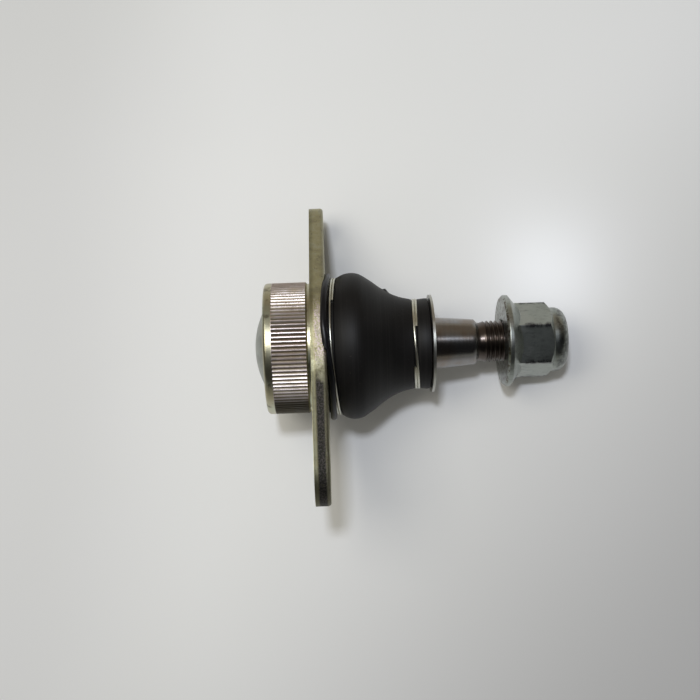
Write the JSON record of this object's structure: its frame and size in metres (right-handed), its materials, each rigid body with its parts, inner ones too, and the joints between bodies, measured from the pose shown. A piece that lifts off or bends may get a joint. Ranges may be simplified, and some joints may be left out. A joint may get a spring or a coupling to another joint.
{
  "type": "suspension ball joint",
  "caption": "Bolt-on ball joint: knurled press-in barrel with an eared plate, rubber boot, and a swinging tapered stud with a flanged lock nut.",
  "frame": {"origin": "centre of the plate's seat on the arm, on the barrel's axis; the ball's centre is at the same point", "axes": "+Z along the stud towards its nut, +X along the plate through its two bolt holes"},
  "size_m": [0.1148, 0.0496, 0.1048],
  "materials": {
    "plated_barrel": "zinc plated, pale yellow passivated, knurled",
    "plated_plate": "zinc plated and yellow passivated, rough blanked edge",
    "plated_cover": "zinc plated pressing",
    "acetal": "moulded acetal",
    "stud_steel": "ground alloy steel",
    "plated_washer": "zinc plated pressing",
    "boot_rubber": "moulded rubber, matt",
    "ring_wire": "drawn spring wire, zinc plated",
    "plated_nut": "zinc plated, clear passivated",
    "nylon": "moulded nylon"
  },
  "bodies": {
    "barrel": {"housing": "plated_barrel", "flange_plate": "plated_plate", "closing_cover": "plated_cover", "dust_boot": "boot_rubber", "base_clamp_ring": "ring_wire"},
    "ball_seats": {"upper_ball_seat": "acetal", "lower_ball_seat": "acetal"},
    "boot_neck": {"neck_clamp_ring": "ring_wire"},
    "stud": {"ball_stud": "stud_steel", "neck_washer": "plated_washer"},
    "nut_rise": {"nylon_insert": "nylon"},
    "nut": {"lock_nut": "plated_nut"}
  },
  "joints": [
    {"name": "swing_direction", "type": "hinge", "parent": "barrel", "child": "ball_seats", "pos_m": [0, 0, 0], "axis": [0, 0, 1], "continuous": true},
    {"name": "stud_swing", "type": "hinge", "parent": "ball_seats", "child": "boot_neck", "pos_m": [0, 0, 0], "axis": [0, 1, 0], "range_deg": [-22, 22], "deforming": ["dust_boot"]},
    {"name": "stud_spin", "type": "hinge", "parent": "boot_neck", "child": "stud", "pos_m": [0, 0, 0], "axis": [0, 0, 1], "continuous": true},
    {"name": "nut_travel", "type": "slide", "parent": "stud", "child": "nut_rise", "axis": [0, 0, 1], "range_m": [-0.006, 0.009]},
    {"name": "nut_turn", "type": "hinge", "parent": "nut_rise", "child": "nut", "pos_m": [0, 0, 0.0643], "axis": [0, 0, 1], "range_deg": [-1440, 2160]}
  ],
  "couplings": [
    {"joint": "nut_travel", "follows": "nut_turn", "m_per_rad": 0.00023873}
  ]
}
